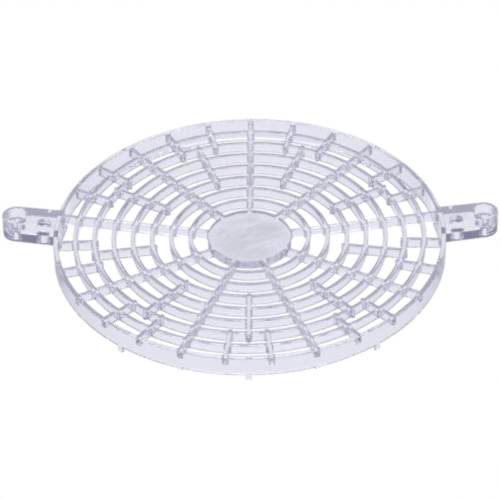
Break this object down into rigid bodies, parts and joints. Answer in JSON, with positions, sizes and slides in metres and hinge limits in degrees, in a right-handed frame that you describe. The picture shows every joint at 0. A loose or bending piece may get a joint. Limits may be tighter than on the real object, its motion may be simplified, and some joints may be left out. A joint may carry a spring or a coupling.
{
  "type": "fan guard",
  "caption": "Round clear plastic fan guard: concentric rings and spokes inside a deep rim with two screw ears.",
  "frame": {"origin": "on the guard's axis, in the plane of the peg tips and the undersides of the screw ears", "axes": "+Z along the axis, from the fan towards the grille; +Y along one spoke; the two screw ears lie in line along X"},
  "size_m": [0.2804, 0.22, 0.0163],
  "materials": {
    "clear_plastic": "clear gloss, very faintly blue-grey"
  },
  "bodies": {
    "root": {"fan_guard": "clear_plastic"}
  },
  "joints": []
}
